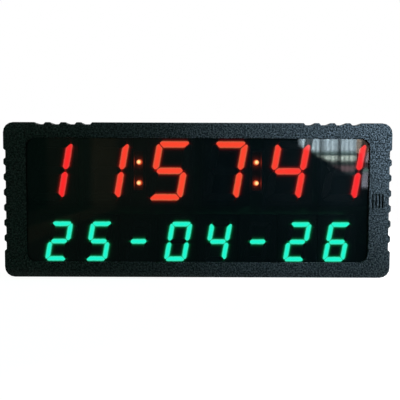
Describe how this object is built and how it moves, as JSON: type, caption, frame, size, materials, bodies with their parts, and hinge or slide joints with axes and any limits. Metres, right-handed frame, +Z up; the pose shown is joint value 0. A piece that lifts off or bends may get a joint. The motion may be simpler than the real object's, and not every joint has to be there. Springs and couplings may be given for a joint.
{
  "type": "digital clock",
  "caption": "Long black digital wall clock with red time digits above green date digits behind a smoked window, rear push buttons, fold-out feet and a hinged coin-cell hatch.",
  "frame": {"origin": "centre of the case's footprint, on the surface that it stands on", "axes": "+X to the right as seen from the front, -Y out of the front face, +Z up"},
  "size_m": [0.38, 0.035, 0.152],
  "materials": {
    "case_black": "spark-eroded matt",
    "cover_black": "fine matt",
    "smoked_window": "polished, smoked",
    "block_black": "matt",
    "red_light": "diffusing",
    "green_light": "diffusing",
    "amber_light": "clear cast",
    "board_green": "solder resist",
    "steel": "bright zinc",
    "part_black": "satin",
    "button_grey": "satin"
  },
  "bodies": {
    "case": {"front_shell": "case_black", "window": "smoked_window", "rear_cover": "cover_black", "case_screw_1": "steel", "case_screw_2": "steel", "case_screw_3": "steel", "case_screw_4": "steel", "case_screw_5": "steel", "time_digit_1_frame": "block_black", "time_digit_1_light": "red_light", "time_digit_2_frame": "block_black", "time_digit_2_light": "red_light", "time_digit_3_frame": "block_black", "time_digit_3_light": "red_light", "time_digit_4_frame": "block_black", "time_digit_4_light": "red_light", "time_digit_5_frame": "block_black", "time_digit_5_light": "red_light", "time_digit_6_frame": "block_black", "time_digit_6_light": "red_light", "colon_1_block": "block_black", "colon_1_upper_led": "amber_light", "colon_1_lower_led": "amber_light", "colon_2_block": "block_black", "colon_2_upper_led": "amber_light", "colon_2_lower_led": "amber_light", "date_digit_1_frame": "block_black", "date_digit_1_light": "green_light", "date_digit_2_frame": "block_black", "date_digit_2_light": "green_light", "date_digit_3_frame": "block_black", "date_digit_3_light": "green_light", "date_digit_4_frame": "block_black", "date_digit_4_light": "green_light", "date_digit_5_frame": "block_black", "date_digit_5_light": "green_light", "date_digit_6_frame": "block_black", "date_digit_6_light": "green_light", "date_digit_7_frame": "block_black", "date_digit_7_light": "green_light", "date_digit_8_frame": "block_black", "date_digit_8_light": "green_light", "main_board": "board_green", "buzzer": "part_black", "cell_holder": "part_black", "coin_cell": "steel", "dc_jack": "part_black", "set_switch": "part_black", "up_switch": "part_black", "down_switch": "part_black", "alarm_switch": "part_black"},
    "foot_left": {"foot_left": "cover_black"},
    "foot_right": {"foot_right": "cover_black"},
    "battery_door": {"battery_door": "cover_black"},
    "set_button": {"set_button": "button_grey"},
    "up_button": {"up_button": "button_grey"},
    "down_button": {"down_button": "button_grey"},
    "alarm_button": {"alarm_button": "button_grey"}
  },
  "joints": [
    {"name": "foot_left_hinge", "type": "hinge", "parent": "case", "child": "foot_left", "pos_m": [-0.14003, 0.0152, 0.0085], "axis": [-1, 0, 0], "range_deg": [0, 98]},
    {"name": "foot_right_hinge", "type": "hinge", "parent": "case", "child": "foot_right", "pos_m": [0.14003, 0.0152, 0.0085], "axis": [-1, 0, 0], "range_deg": [0, 98]},
    {"name": "battery_door_hinge", "type": "hinge", "parent": "case", "child": "battery_door", "pos_m": [-0.056, 0.0162, 0.098], "axis": [1, 0, 0], "range_deg": [0, 80]},
    {"name": "set_button_press", "type": "slide", "parent": "case", "child": "set_button", "axis": [0, -1, 0], "range_m": [0, 0.0008], "stiffness_N_per_m": 800},
    {"name": "up_button_press", "type": "slide", "parent": "case", "child": "up_button", "axis": [0, -1, 0], "range_m": [0, 0.0008], "stiffness_N_per_m": 800},
    {"name": "down_button_press", "type": "slide", "parent": "case", "child": "down_button", "axis": [0, -1, 0], "range_m": [0, 0.0008], "stiffness_N_per_m": 800},
    {"name": "alarm_button_press", "type": "slide", "parent": "case", "child": "alarm_button", "axis": [0, -1, 0], "range_m": [0, 0.0008], "stiffness_N_per_m": 800}
  ]
}
